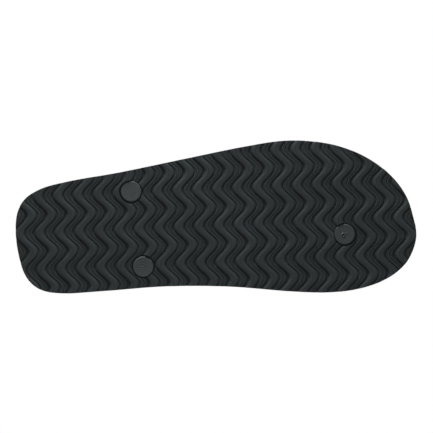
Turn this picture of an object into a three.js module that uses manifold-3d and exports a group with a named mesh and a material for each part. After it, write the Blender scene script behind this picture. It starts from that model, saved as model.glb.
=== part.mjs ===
// A right-foot flip flop, built as its maker builds it: a glued sole of three foam layers, a padded
// strap of two sewn arms that meet in a saddle over the toes, and three round plugs that hold the
// strap from under the sole. Millimetres, +Z up. The toes point to -Y and the inner (medial) side
// of the foot is +X. The origin lies on the ground under the middle of the sole. "Along" runs from
// the back of the heel to the toes, and "across" is +X.
import * as THREE from "three";
import { mergeVertices } from "three/addons/utils/BufferGeometryUtils.js";
import Module from "manifold-3d";

const wasm = await Module();
wasm.setup();

// ---- Driving dimensions -----------------------------------------------------------------------

const SOLE_LENGTH = 285.2;
const SOLE_WIDTH = 109.3;
const OUTSOLE_THICKNESS = 4.5;
const MIDSOLE_THICKNESS = 9.5;
const FOOTBED_THICKNESS = 3;

// The wavy tread: in each pitch a wide and a narrow groove cross the sole, and swing along it once
// in each wave.
const TREAD_PITCH = 14.22;
const TREAD_WAVE = 26.1;
const TREAD_SWING = 9.2;
const GROOVE_DEPTH = 1.4;
const WIDE_GROOVE_WIDTH = 3.4;
const NARROW_GROOVE_WIDTH = 2.6;
const RIB_WIDTH = 3.3; // between the wide groove and the narrow one ahead of it
// The wave swings furthest to the heel here: the heel-side edge of a wide groove, and its place
// across.
const FIRST_GROOVE_ALONG = 4.8;
const WAVE_START_ACROSS = 3.7;
const WAVE_STEPS = 6; // straight pieces that stand for one wave

// The three plugs, each a disc in a recess under the sole with a stem up its hole.
const PLUG_DISC_DIAMETER = 14.8;
const PLUG_DISC_THICKNESS = 2.4;
const PLUG_SET_BACK = 0.4; // of the disc's face above the ground
const PLUG_RIM_CHAMFER = 0.5;
const STEM_DIAMETER = 9.4;
const STEM_LENGTH = 9.6; // above the disc
const STEM_TAPER = 0.5; // taken off its radius over its length
const RECESS_CLEARANCE = 0.9; // around the disc
const STEM_CLEARANCE = 0.6; // around the stem
const SEAT_GAP = 0.3; // between parts that bear on each other

// Where the strap goes through the sole, across from the middle of its width.
const TOE_HOLE = { fromToes: 51, across: 13.8 };
const MEDIAL_HOLE = { fromHeel: 89.8, across: 30.8 };
const LATERAL_HOLE = { fromHeel: 83.5, across: -23.3 };

// The strap: heights are above the footbed, to the middle of the strap's thickness.
const STRAP_THICKNESS = 5;
const STRAP_SKIN = 1.0; // of the upper and of the lining, with the padding between them
const ARCH_HEIGHT = 38;
const SADDLE_HEIGHT = 18;
// How far each arm stands out from the straight line between its hole and the toe hole.
const MEDIAL_BULGE = 8.5;
const LATERAL_BULGE = 24;
const ARM_WIDTH_LOW = 12;
const ARM_WIDTH_MIDDLE = 26;
const ARM_WIDEST_SHARE = 0.42; // of the arm's length, where it is widest
const SADDLE_WIDTH = 13;
const ARM_START_HEIGHT = 10.5; // where the padded arm begins, above the footbed
const ARM_END_SHARE = 0.86; // of the way to the toe hole, where the arm is sewn to the saddle
const NOSE_LENGTH = 9; // of the saddle, ahead of the toe hole
const NOSE_DROP = 2; // of its tip below the saddle over the toe hole
const NOSE_BLUNT_END = 0.96; // of the nose's length, where its round stops short in a flat end
const TAPE_WIDTH = 8;
const TAPE_THICKNESS = 2.2;
const POST_WIDTH = 8.4; // along the foot
const POST_THICKNESS = 3.2; // between the toes
const POST_CORNER = 1.2;
const ARM_SWING_GAP = 0.5; // at both ends of an arm, so that it can flop

const ROUND_STEPS = 32;
const OUTLINE_STEPS = 96;
const ARM_STEPS = 26;
const TAPE_STEPS = 12;
const SADDLE_STEPS = 14;
const POST_CORNER_STEPS = 4;
const ROUTE_STEPS = 2000; // of a search along a route
const MERGE_GAP = 1e-4; // between two corners that are one
const END_OVERLAP = 0.05; // of a route, past the place where a strip is then cut

// The sole's outline from the middle of the heel up the medial side, round the toes and back down
// the lateral side: [share of the length from the heel, share of the width from the middle].
const OUTLINE = [
  [0, 0.03],
  [0.009, 0.22],
  [0.025, 0.329],
  [0.056, 0.401],
  [0.105, 0.43],
  [0.21, 0.428],
  [0.368, 0.415],
  [0.526, 0.434],
  [0.684, 0.484],
  [0.771, 0.5],
  [0.842, 0.489],
  [0.912, 0.439],
  [0.961, 0.358],
  [0.985, 0.276],
  [1, 0.155],
  [0.994, 0.027],
  [0.978, -0.11],
  [0.94, -0.252],
  [0.877, -0.379],
  [0.806, -0.458],
  [0.736, -0.493],
  [0.673, -0.5],
  [0.579, -0.473],
  [0.421, -0.407],
  [0.263, -0.34],
  [0.14, -0.298],
  [0.07, -0.258],
  [0.028, -0.198],
  [0.007, -0.112],
];

// An arm's middle line: [share of the way from its hole to the toe hole, share of its bulge, share
// of the arch].
const ARM_ROUTE = [
  [0.015, 0.1, 0.14],
  [0.08, 0.45, 0.42],
  [0.26, 0.93, 0.85],
  [0.49, 1, 1],
  [0.73, 0.68, 0.8],
  [0.9, 0.2, 0.55],
];

// ---- Levels and places worked out from them ---------------------------------------------------

const MIDSOLE_BOTTOM = OUTSOLE_THICKNESS;
const FOOTBED_BOTTOM = MIDSOLE_BOTTOM + MIDSOLE_THICKNESS;
const FOOTBED_TOP = FOOTBED_BOTTOM + FOOTBED_THICKNESS;
const DISC_TOP = PLUG_SET_BACK + PLUG_DISC_THICKNESS;
const STEM_TOP = DISC_TOP + STEM_LENGTH;
const RECESS_RADIUS = PLUG_DISC_DIAMETER / 2 + RECESS_CLEARANCE;
const STRAP_HALF = STRAP_THICKNESS / 2;
const TAPE_HALF = TAPE_THICKNESS / 2;
const HOLE_RADIUS = STEM_DIAMETER / 2 + STEM_CLEARANCE;

const place = (along, across, height = 0) =>
  new THREE.Vector3(across, SOLE_LENGTH / 2 - along, height);
const toeHole = place(SOLE_LENGTH - TOE_HOLE.fromToes, TOE_HOLE.across);
const medialHole = place(MEDIAL_HOLE.fromHeel, MEDIAL_HOLE.across);
const lateralHole = place(LATERAL_HOLE.fromHeel, LATERAL_HOLE.across);
const HOLES = [toeHole, medialHole, lateralHole];

// ---- Solids -----------------------------------------------------------------------------------

// A closed three.js geometry as a manifold-3d solid.
function solidOf(geometry) {
  const bare = geometry.clone();
  bare.deleteAttribute("normal");
  bare.deleteAttribute("uv");
  const merged = mergeVertices(bare, MERGE_GAP);
  return new wasm.Manifold(
    new wasm.Mesh({
      numProp: 3,
      vertProperties: merged.attributes.position.array,
      triVerts: new Uint32Array(merged.index.array),
    }),
  );
}

// The three.js geometry of a solid, without any crumb that a cut has left beside it.
function geometryOf(solid) {
  const [whole] = solid.decompose().sort((a, b) => b.volume() - a.volume());
  const mesh = whole.getMesh();
  const geometry = new THREE.BufferGeometry();
  geometry.setAttribute("position", new THREE.BufferAttribute(mesh.vertProperties, 3));
  geometry.setIndex(new THREE.BufferAttribute(mesh.triVerts, 1));
  geometry.computeVertexNormals();
  return geometry;
}

// A closed surface through a row of rings, with flat ends. A ring runs along its inner corners and
// back along as many outer ones. The inner and the outer face are split along the same diagonals,
// so that layers made from the same places stay parallel.
function loft(rings) {
  const count = rings[0].length;
  const index = [];
  for (let ring = 0; ring + 1 < rings.length; ring++) {
    for (let i = 0; i < count; i++) {
      const a = ring * count + i;
      const b = ring * count + ((i + 1) % count);
      const c = b + count;
      const d = a + count;
      index.push(...(i < count / 2 ? [a, b, c, a, c, d] : [a, b, d, b, c, d]));
    }
  }
  const last = (rings.length - 1) * count;
  for (let i = 0; i + 1 < count / 2; i++) {
    const [a, b, c, d] = [i, i + 1, count - 2 - i, count - 1 - i];
    index.push(a, c, b, a, d, c);
    index.push(last + a, last + b, last + c, last + a, last + c, last + d);
  }
  const geometry = new THREE.BufferGeometry().setFromPoints(rings.flat());
  geometry.setIndex(index);
  return geometry;
}

function shapeOf(points) {
  return new THREE.Shape(points.map((p) => new THREE.Vector2(p.x, p.y)));
}

function slab(shape, bottom, thickness) {
  const geometry = new THREE.ExtrudeGeometry(shape, {
    depth: thickness,
    bevelEnabled: false,
    curveSegments: ROUND_STEPS,
  });
  return geometry.translate(0, 0, bottom);
}

function roundHole(centre, radius) {
  const circle = new THREE.EllipseCurve(centre.x, centre.y, radius, radius);
  return new THREE.Path(circle.getPoints(ROUND_STEPS).slice(0, -1));
}

// ---- The sole ---------------------------------------------------------------------------------

// The outline, moved so that the middle of its box is the origin.
function soleOutline() {
  const knots = OUTLINE.map(([along, across]) => place(along * SOLE_LENGTH, across * SOLE_WIDTH));
  const curve = new THREE.CatmullRomCurve3(knots, true, "centripetal");
  const points = curve.getSpacedPoints(OUTLINE_STEPS).slice(0, -1);
  const box = new THREE.Box3().setFromPoints(points);
  const middle = box.getCenter(new THREE.Vector3());
  return points.map((p) => p.sub(middle));
}

function soleLayer(bottom, thickness) {
  const shape = shapeOf(soleOutline());
  shape.holes = HOLES.map((hole) => roundHole(hole, HOLE_RADIUS));
  return slab(shape, bottom, thickness);
}

// How far the tread swings towards the toes at a place across the sole.
function treadSwing(across) {
  const turn = (2 * Math.PI * (across - WAVE_START_ACROSS)) / TREAD_WAVE;
  return (TREAD_SWING / 2) * (1 - Math.cos(turn));
}

// One wavy groove, as a bar that reaches from below the ground up to the groove's floor.
function treadGroove(along, width) {
  const step = TREAD_WAVE / WAVE_STEPS;
  const reach = Math.ceil(SOLE_WIDTH / 2 / step) + 1;
  const edge = [];
  for (let i = -reach; i <= reach; i++) {
    const across = WAVE_START_ACROSS + i * step;
    edge.push(place(along + treadSwing(across), across));
  }
  const other = edge.map((p) => new THREE.Vector3(p.x, p.y - width, 0)).reverse();
  return slab(shapeOf([...edge, ...other]), -GROOVE_DEPTH, 2 * GROOVE_DEPTH);
}

function outsole() {
  let solid = solidOf(soleLayer(0, OUTSOLE_THICKNESS));
  const first = FIRST_GROOVE_ALONG - TREAD_PITCH;
  for (let along = first; along < SOLE_LENGTH; along += TREAD_PITCH) {
    const narrow = along + WIDE_GROOVE_WIDTH + RIB_WIDTH;
    solid = solid.subtract(solidOf(treadGroove(along, WIDE_GROOVE_WIDTH)));
    solid = solid.subtract(solidOf(treadGroove(narrow, NARROW_GROOVE_WIDTH)));
  }
  const recessTop = DISC_TOP + SEAT_GAP;
  for (const hole of HOLES) {
    const bore = new THREE.CylinderGeometry(
      RECESS_RADIUS,
      RECESS_RADIUS,
      2 * recessTop,
      ROUND_STEPS,
    );
    bore.rotateX(Math.PI / 2).translate(hole.x, hole.y, 0);
    solid = solid.subtract(solidOf(bore));
  }
  return geometryOf(solid);
}

// ---- The plugs --------------------------------------------------------------------------------

function plug() {
  const radius = PLUG_DISC_DIAMETER / 2;
  const stem = STEM_DIAMETER / 2;
  const profile = [
    [0, PLUG_SET_BACK],
    [radius - PLUG_RIM_CHAMFER, PLUG_SET_BACK],
    [radius, PLUG_SET_BACK + PLUG_RIM_CHAMFER],
    [radius, DISC_TOP],
    [stem, DISC_TOP],
    [stem - STEM_TAPER, STEM_TOP],
    [0, STEM_TOP],
  ];
  const points = profile.map(([x, y]) => new THREE.Vector2(x, y));
  return new THREE.LatheGeometry(points, ROUND_STEPS).rotateX(Math.PI / 2);
}

// ---- The strap --------------------------------------------------------------------------------

// The middle line of one side of the strap, from the top of its plug's stem to the saddle's nose.
function strapRoute(hole, bulge) {
  const side = Math.sign(hole.x - toeHole.x);
  const points = [
    new THREE.Vector3(hole.x, hole.y, STEM_TOP + SEAT_GAP),
    new THREE.Vector3(hole.x, hole.y, FOOTBED_TOP),
  ];
  for (const [share, bulgeShare, archShare] of ARM_ROUTE) {
    const point = new THREE.Vector3().lerpVectors(hole, toeHole, share);
    point.x += side * bulge * bulgeShare;
    point.z = FOOTBED_TOP + ARCH_HEIGHT * archShare;
    points.push(point);
  }
  const top = toeHole.clone().setZ(FOOTBED_TOP + SADDLE_HEIGHT);
  const nose = top.clone().add(new THREE.Vector3(0, -NOSE_LENGTH, -NOSE_DROP));
  points.push(top, nose);
  return new THREE.CatmullRomCurve3(points, false, "centripetal");
}

// The first place on a route, from 0 to 1, where test(point) is true.
function firstWhere(route, test) {
  for (let i = 0; i <= ROUTE_STEPS; i++) {
    if (test(route.getPoint(i / ROUTE_STEPS))) return i / ROUTE_STEPS;
  }
  return 1;
}

// The strap lies on a foot, so its outer face points away from a line through the middle of the
// foot.
function strapFrame(route, t) {
  const point = route.getPoint(t);
  const ahead = route.getTangent(t);
  const share = (medialHole.y - point.y) / (medialHole.y - toeHole.y);
  const middle = (medialHole.x + lateralHole.x) / 2;
  const footX = THREE.MathUtils.lerp(middle, toeHole.x, THREE.MathUtils.clamp(share, 0, 1));
  const out = new THREE.Vector3(point.x - footX, 0, Math.max(point.z - FOOTBED_TOP, 0));
  if (out.lengthSq() < 1) out.set(0, 0, 1);
  out.addScaledVector(ahead, -out.dot(ahead)).normalize();
  const along = new THREE.Vector3().crossVectors(out, ahead);
  return { point, out, along };
}

// A point of the strap, sideways from its middle line and at a depth through its thickness.
function strapPoint({ point, along, out }, sideways, depth) {
  return point.clone().addScaledVector(along, sideways).addScaledVector(out, depth);
}

// A strip of the strap between two places on its route, from one depth to another through its
// thickness.
function strip(route, from, to, steps, widthAt, inner, outer) {
  const rings = [];
  for (let i = 0; i <= steps; i++) {
    const t = from + ((to - from) * i) / steps;
    const frame = strapFrame(route, t);
    const half = widthAt(t) / 2;
    rings.push([
      strapPoint(frame, -half, inner),
      strapPoint(frame, half, inner),
      strapPoint(frame, half, outer),
      strapPoint(frame, -half, outer),
    ]);
  }
  return loft(rings);
}

function strapSide(hole, bulge) {
  const route = strapRoute(hole, bulge);
  const start = firstWhere(route, (p) => p.z > FOOTBED_TOP + ARM_START_HEIGHT);
  const endY = THREE.MathUtils.lerp(hole.y, toeHole.y, ARM_END_SHARE);
  const end = firstWhere(route, (p) => p.z > FOOTBED_TOP && p.y < endY);
  const hinge = route.getPoint(start);
  const seam = route.getPoint(end);
  const axis = seam.clone().sub(hinge).normalize();
  // The arm widens to its middle, narrows to the saddle, and ends in the saddle's round nose.
  const nose = firstWhere(route, (p) => p.y < toeHole.y);
  const widthAt = (t) => {
    const middle = start + ARM_WIDEST_SHARE * (end - start);
    if (t < middle) {
      const ease = THREE.MathUtils.smoothstep(t, start, middle);
      return THREE.MathUtils.lerp(ARM_WIDTH_LOW, ARM_WIDTH_MIDDLE, ease);
    }
    const ease = THREE.MathUtils.smoothstep(t, middle, nose);
    const width = THREE.MathUtils.lerp(ARM_WIDTH_MIDDLE, SADDLE_WIDTH, ease);
    const past = THREE.MathUtils.clamp((t - nose) / (1 - nose), 0, NOSE_BLUNT_END);
    return width * Math.sqrt(1 - past * past);
  };
  return { route, start, end, hinge, seam, axis, widthAt };
}

const LAYERS = {
  lining: [-STRAP_HALF, -STRAP_HALF + STRAP_SKIN],
  padding: [-STRAP_HALF + STRAP_SKIN + SEAT_GAP, STRAP_HALF - STRAP_SKIN - SEAT_GAP],
  upper: [STRAP_HALF - STRAP_SKIN, STRAP_HALF],
};

// What a solid keeps ahead of, or behind, a plane that is square to the line an arm flops about.
function keepAhead(solid, side, point) {
  return solid.trimByPlane(side.axis.toArray(), side.axis.dot(point) + ARM_SWING_GAP / 2);
}

function keepBehind(solid, side, point) {
  const back = side.axis.clone().negate();
  return solid.trimByPlane(back.toArray(), back.dot(point) + ARM_SWING_GAP / 2);
}

// One layer of an arm, cut at both ends square to the line that the arm flops about.
function armLayer(side, [inner, outer]) {
  const from = side.start - END_OVERLAP;
  const to = side.end + END_OVERLAP;
  const whole = solidOf(strip(side.route, from, to, ARM_STEPS, side.widthAt, inner, outer));
  return geometryOf(keepBehind(keepAhead(whole, side, side.hinge), side, side.seam));
}

// One layer of the saddle, from one depth to another: it covers both routes ahead of the arms, from
// the lateral edge over a ridge between them to the medial edge. A margin makes it larger all
// round, for what has to stay clear of it.
function saddleLayer(inner, outer, margin = 0) {
  const rings = [];
  for (let i = 0; i <= SADDLE_STEPS; i++) {
    const [left, right] = [lateral, medial].map((side) => {
      const t = THREE.MathUtils.lerp(side.end - END_OVERLAP, 1, i / SADDLE_STEPS);
      const sideways = side.widthAt(t) / 2 + margin;
      return { ...strapFrame(side.route, t), sideways };
    });
    const ridge = {
      point: left.point.clone().lerp(right.point, 0.5),
      along: left.along,
      out: left.out.clone().add(right.out).normalize(),
    };
    const across = (depth) => [
      strapPoint(left, -left.sideways, depth),
      strapPoint(ridge, 0, depth),
      strapPoint(right, right.sideways, depth),
    ];
    rings.push([...across(inner - margin), ...across(outer + margin).reverse()]);
  }
  const behindLateral = keepAhead(solidOf(loft(rings)), lateral, lateral.seam);
  return keepAhead(behindLateral, medial, medial.seam);
}

// The webbing tape that runs from a plug's stem up through the sole into its arm.
function tape(side) {
  const to = side.start + END_OVERLAP;
  const width = () => TAPE_WIDTH;
  const whole = strip(side.route, 0, to, TAPE_STEPS, width, -TAPE_HALF, TAPE_HALF);
  return geometryOf(keepBehind(solidOf(whole), side, side.hinge));
}

// The toe post stands in the toe hole and ends under the saddle.
function toePost() {
  const x = POST_THICKNESS / 2 - POST_CORNER;
  const y = POST_WIDTH / 2 - POST_CORNER;
  const section = new THREE.Shape();
  section.absarc(x, y, POST_CORNER, 0, Math.PI / 2);
  section.absarc(-x, y, POST_CORNER, Math.PI / 2, Math.PI);
  section.absarc(-x, -y, POST_CORNER, Math.PI, 1.5 * Math.PI);
  section.absarc(x, -y, POST_CORNER, 1.5 * Math.PI, 2 * Math.PI);
  const bottom = STEM_TOP + SEAT_GAP;
  const post = new THREE.ExtrudeGeometry(section, {
    depth: FOOTBED_TOP + SADDLE_HEIGHT - bottom,
    bevelEnabled: false,
    curveSegments: POST_CORNER_STEPS,
  });
  post.translate(toeHole.x, toeHole.y, bottom);
  const above = saddleLayer(-STRAP_HALF, 3 * STRAP_THICKNESS, SEAT_GAP);
  return geometryOf(solidOf(post).subtract(above));
}

// ---- The finished object ----------------------------------------------------------------------

const paint = (color, roughness) =>
  new THREE.MeshStandardMaterial({ color, roughness, metalness: 0 });
const FINISH = {
  outsole: paint(0x2b2f31, 0.72),
  midsole: paint(0x26292b, 0.8),
  footbed: paint(0x2e3133, 0.85),
  plug: paint(0x3a3e40, 0.55),
  upper: paint(0x1f2122, 0.6),
  padding: paint(0x55585a, 0.9),
  lining: paint(0x2c2f31, 0.9),
  webbing: paint(0x222425, 0.85),
};

function piece(name, geometry, material) {
  const mesh = new THREE.Mesh(geometry, material);
  mesh.name = name;
  return mesh;
}

function soleGroup() {
  const group = new THREE.Group();
  group.add(
    piece("outsole", outsole(), FINISH.outsole),
    piece("midsole", soleLayer(MIDSOLE_BOTTOM, MIDSOLE_THICKNESS), FINISH.midsole),
    piece("footbed", soleLayer(FOOTBED_BOTTOM, FOOTBED_THICKNESS), FINISH.footbed),
  );
  return group;
}

function plugAt(name, hole) {
  const mesh = piece(name, plug(), FINISH.plug);
  mesh.position.copy(hole);
  return mesh;
}

function armGroup(name, side) {
  const group = new THREE.Group();
  group.add(
    piece(`${name}_arm_upper`, armLayer(side, LAYERS.upper), FINISH.upper),
    piece(`${name}_arm_padding`, armLayer(side, LAYERS.padding), FINISH.padding),
    piece(`${name}_arm_lining`, armLayer(side, LAYERS.lining), FINISH.lining),
    piece(`${name}_tape`, tape(side), FINISH.webbing),
  );
  return group;
}

function saddleGroup() {
  const group = new THREE.Group();
  const upper = saddleLayer(0, STRAP_HALF);
  const lining = saddleLayer(-STRAP_HALF, -SEAT_GAP);
  group.add(
    piece("saddle_upper", geometryOf(upper), FINISH.upper),
    piece("saddle_lining", geometryOf(lining), FINISH.lining),
    piece("toe_post", toePost(), FINISH.webbing),
  );
  return group;
}

const medial = strapSide(medialHole, MEDIAL_BULGE);
const lateral = strapSide(lateralHole, LATERAL_BULGE);

const flipFlop = new THREE.Group();
flipFlop.add(
  soleGroup(),
  plugAt("toe_plug", toeHole),
  plugAt("medial_plug", medialHole),
  plugAt("lateral_plug", lateralHole),
  armGroup("medial", medial),
  armGroup("lateral", lateral),
  saddleGroup(),
);

export default flipFlop;
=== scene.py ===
"""A right-foot flip flop seen from below: layered foam sole, wavy tread, padded strap and strap plugs.

Shapes are worked out in millimetres and put into the meshes in metres. The toes point to -Y, the inner
(medial) side of the foot is +X, and the ground is z = 0. The model's own levels, outline and plug places
come from the frame.
"""
import math

import bmesh
import bpy
import numpy as np
from mathutils import Matrix, Vector


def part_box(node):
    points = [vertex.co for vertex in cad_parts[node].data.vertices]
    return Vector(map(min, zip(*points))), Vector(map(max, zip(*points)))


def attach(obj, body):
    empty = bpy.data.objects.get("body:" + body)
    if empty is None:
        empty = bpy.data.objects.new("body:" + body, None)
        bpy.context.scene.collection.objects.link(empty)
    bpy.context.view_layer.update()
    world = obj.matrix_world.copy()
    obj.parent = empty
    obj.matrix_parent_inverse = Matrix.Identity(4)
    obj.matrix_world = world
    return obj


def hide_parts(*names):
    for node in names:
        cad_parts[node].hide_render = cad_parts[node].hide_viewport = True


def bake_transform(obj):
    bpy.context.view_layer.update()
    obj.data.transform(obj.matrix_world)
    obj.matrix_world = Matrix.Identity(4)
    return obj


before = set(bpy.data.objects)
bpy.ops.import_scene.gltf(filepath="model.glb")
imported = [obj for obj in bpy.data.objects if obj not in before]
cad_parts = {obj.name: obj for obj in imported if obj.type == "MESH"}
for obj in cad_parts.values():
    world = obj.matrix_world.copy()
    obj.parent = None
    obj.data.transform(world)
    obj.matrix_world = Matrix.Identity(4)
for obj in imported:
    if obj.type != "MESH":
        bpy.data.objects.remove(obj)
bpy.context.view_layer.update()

MM = 0.001

# ---- Places and levels read from the frame ---------------


def node_box(name):
    """The lowest and highest corner of a CAD node, in millimetres."""
    low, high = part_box(name)
    return np.array(low) / MM, np.array(high) / MM


def node_centre(name):
    low, high = node_box(name)
    return (low + high) / 2


SOLE_LOW, SOLE_HIGH = node_box("outsole")
SOLE_LENGTH = SOLE_HIGH[1] - SOLE_LOW[1]
SOLE_WIDTH = SOLE_HIGH[0] - SOLE_LOW[0]
HEEL_END = SOLE_HIGH[1]
OUTSOLE_TOP = SOLE_HIGH[2]
MIDSOLE_TOP = node_box("midsole")[1][2]
FOOTBED_TOP = node_box("footbed")[1][2]
DISC_FACE, STEM_TOP = (node_box("toe_plug")[end][2] for end in (0, 1))
TOE_HOLE = node_centre("toe_plug")[:2]
MEDIAL_HOLE = node_centre("medial_plug")[:2]
LATERAL_HOLE = node_centre("lateral_plug")[:2]
HOLES = (TOE_HOLE, MEDIAL_HOLE, LATERAL_HOLE)
DISC_RADIUS = np.ptp([corner[0] for corner in node_box("toe_plug")]) / 2

# ---- Sizes, in millimetres -------------------------------

# The tread: ridges a pitch apart that swing along the sole once in each wave.
TREAD_PITCH = 14.22
TREAD_WAVE = 26.1
TREAD_SWING = 9.2
FIRST_GROOVE = 4.8  # from the heel's end to a groove, where the wave swings furthest to the heel
WAVE_START = 3.7  # across, where the wave swings furthest to the heel
# One pitch from a groove's near edge towards the toes: (distance, depth) of each corner of its section.
TREAD_SECTION = (
    (0.0, 0.1), (0.6, 0.2), (1.1, 0.4), (1.35, 0.85), (1.95, 0.95), (2.25, 0.65),
    (2.5, 0.5), (3.0, 0.48), (3.1, 0.68), (3.24, 0.68), (3.36, 0.48), (4.3, 0.52),
    (4.6, 0.82), (5.1, 0.86), (5.4, 0.62), (5.9, 0.6), (6.0, 0.78), (6.14, 0.78),
    (6.26, 0.62), (6.95, 0.75), (7.3, 1.35), (8.15, 1.45), (8.45, 1.1), (8.8, 0.98),
    (9.0, 0.6), (9.6, 0.52), (9.85, 0.15), (10.4, 0.02), (11.6, 0.0), (11.7, 0.18),
    (11.84, 0.18), (11.96, 0.0), (13.2, 0.0),
)
WAVE_COLUMNS = 20
TREAD_CREASE = 28  # degrees: the tread's edges that are sharper stay crisp

OUTLINE_POINTS = 560
ROUND_POINTS = 96  # points round a hole or a plug
LIP = 0.3  # height of the bevels where the sole's layers meet
LIP_INSET = 0.25
EDGE_RADIUS = 1.1  # of the footbed's top edge
# The footbed's pressed line: (inset from the edge, depth).
PRESSED_LINE = ((5.6, 0), (5.9, 0.25), (6.2, 0.4), (6.6, 0.4), (6.9, 0.25), (7.2, 0))

DISC_THICKNESS = 2.4
RECESS_GAP = 0.85
RECESS_TOP = DISC_FACE + DISC_THICKNESS + 0.3
RECESS_WOBBLE = 0.4
HOLE_RADIUS = 5.3
STEM_RADIUS = 4.7
FACE_RINGS = 36
FACE_MIDDLE = 0.02  # radius of a plug's innermost ring of points
FACE_DISH = 0.12  # depth of the shallow dish in a plug's face

# What stands out of the plugs' faces: places from the hole's axis, heights and widths.
GATE_PLACE = (0.4, 1.0)
GATE_HEIGHT = 0.42
GATE_RADIUS = 1.0
GATE_RIM = 0.32
GATE_PIT = 0.55
PIP_PLACE = (-0.5, -1.7)
PIP_SIZE = 0.5
ARC_PLACE = (-1.2, 0.8)
ARC_HEIGHT = 0.12
ARC_PITCH = 1.5
ARC_FADE = 4.0

# The strap's route, the same as the solids'.
ARCH_HEIGHT = 38
SADDLE_HEIGHT = 18
MEDIAL_BULGE = 8.5
LATERAL_BULGE = 24
ARM_WIDTH_LOW = 12
ARM_WIDTH_MIDDLE = 26
SADDLE_WIDTH = 13
ARM_START_HEIGHT = 10.5
ARM_END_SHARE = 0.86
NOSE_LENGTH = 9
ARM_WIDEST = 0.42  # the share of an arm's length at which it is widest
# From a hole to the toe hole: shares of the way, of the bulge and of the arch.
ARM_ROUTE = (
    (0.015, 0.1, 0.14),
    (0.08, 0.45, 0.42),
    (0.26, 0.93, 0.85),
    (0.49, 1, 1),
    (0.73, 0.68, 0.8),
    (0.9, 0.2, 0.55),
)

# ---- Meshes ----------------------------------------------


def mesh_object(name, points, faces, uv=None):
    """A mesh object at the origin from points in millimetres, with an optional (u, v) for each point."""
    mesh = bpy.data.meshes.new(name)
    corners = (np.asarray(points, float) * MM).tolist()
    mesh.from_pydata(corners, [], [list(map(int, face)) for face in faces])
    if uv is not None:
        corner_points = np.zeros(len(mesh.loops), int)
        mesh.loops.foreach_get("vertex_index", corner_points)
        layer = mesh.uv_layers.new(name="UVMap")
        layer.data.foreach_set("uv", np.asarray(uv, float)[corner_points].ravel())
    mesh.update()
    piece = bpy.data.objects.new(name, mesh)
    bpy.context.scene.collection.objects.link(piece)
    return piece


def grid_faces(rows, columns, wrap_rows=False, wrap_columns=False):
    """The four-sided faces of a grid of points stored row by row, joined end to end where it wraps."""
    i = np.arange(rows if wrap_rows else rows - 1)[:, None]
    j = np.arange(columns if wrap_columns else columns - 1)[None, :]
    a = i * columns + j
    b = i * columns + (j + 1) % columns
    c = ((i + 1) % rows) * columns + (j + 1) % columns
    d = ((i + 1) % rows) * columns + j
    return np.stack([a, b, c, d], axis=-1).reshape(-1, 4)


def border(rows, columns):
    """The points round the edge of a grid of points stored row by row, in order."""
    return np.concatenate([
        np.arange(columns),
        np.arange(1, rows) * columns + columns - 1,
        (rows - 1) * columns + np.arange(columns - 1)[::-1],
        np.arange(1, rows - 1)[::-1] * columns,
    ])


def shell_faces(rows, columns):
    """The faces of a closed shell: a grid of points, the same grid over it, and walls between their edges."""
    count = rows * columns
    faces = grid_faces(rows, columns)
    edge = border(rows, columns)
    after = np.roll(edge, -1)
    walls = np.stack([edge, after, after + count, edge + count], axis=-1)
    return np.vstack([faces[:, ::-1], faces + count, walls])


def outward(piece):
    """Turns every face of a closed piece outwards, after doubled points are merged."""
    work = bmesh.new()
    work.from_mesh(piece.data)
    bmesh.ops.remove_doubles(work, verts=work.verts, dist=1e-7)
    bmesh.ops.recalc_face_normals(work, faces=work.faces)
    work.to_mesh(piece.data)
    work.free()
    return piece


def smooth(piece, angle=35):
    """Smooth shading, with edges that are sharper than the angle kept crisp."""
    work = bmesh.new()
    work.from_mesh(piece.data)
    limit = math.radians(angle)
    for face in work.faces:
        face.smooth = True
    for edge in work.edges:
        edge.smooth = edge.calc_face_angle(0) < limit
    work.to_mesh(piece.data)
    work.free()
    return piece


def combine(piece, tool, operation):
    """Joins, cuts or intersects a closed piece with a closed tool, and removes the tool."""
    modifier = piece.modifiers.new("cut", "BOOLEAN")
    modifier.operation = operation
    modifier.solver = "MANIFOLD"
    modifier.object = tool
    graph = bpy.context.evaluated_depsgraph_get()
    result = bpy.data.meshes.new_from_object(piece.evaluated_get(graph))
    piece.modifiers.clear()
    piece.data = result
    bpy.data.objects.remove(tool)
    return piece


def closed_sweep(name, rings, uv=None):
    """A closed piece through a stack of rings of points, with a flat face over the first and the last."""
    rings = np.asarray(rings, float)
    count, around = rings.shape[:2]
    faces = grid_faces(count, around, wrap_columns=True).tolist()
    faces.append(list(range(around))[::-1])
    faces.append(list(range((count - 1) * around, count * around)))
    return outward(mesh_object(name, rings.reshape(-1, 3), faces, uv))


def circle(centre, radius, count, z):
    """Points round a circle. The radius may be one number or one for each point."""
    turn = np.arange(count) * 2 * math.pi / count
    x = centre[0] + radius * np.cos(turn)
    y = centre[1] + radius * np.sin(turn)
    return np.stack([x, y, np.full(count, float(z))], axis=-1)


def distances(line):
    """How far each corner of a line lies along it."""
    return np.concatenate([[0], np.cumsum(np.linalg.norm(np.diff(line, axis=0), axis=1))])


# ---- The sole's outline ----------------------------------


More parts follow.
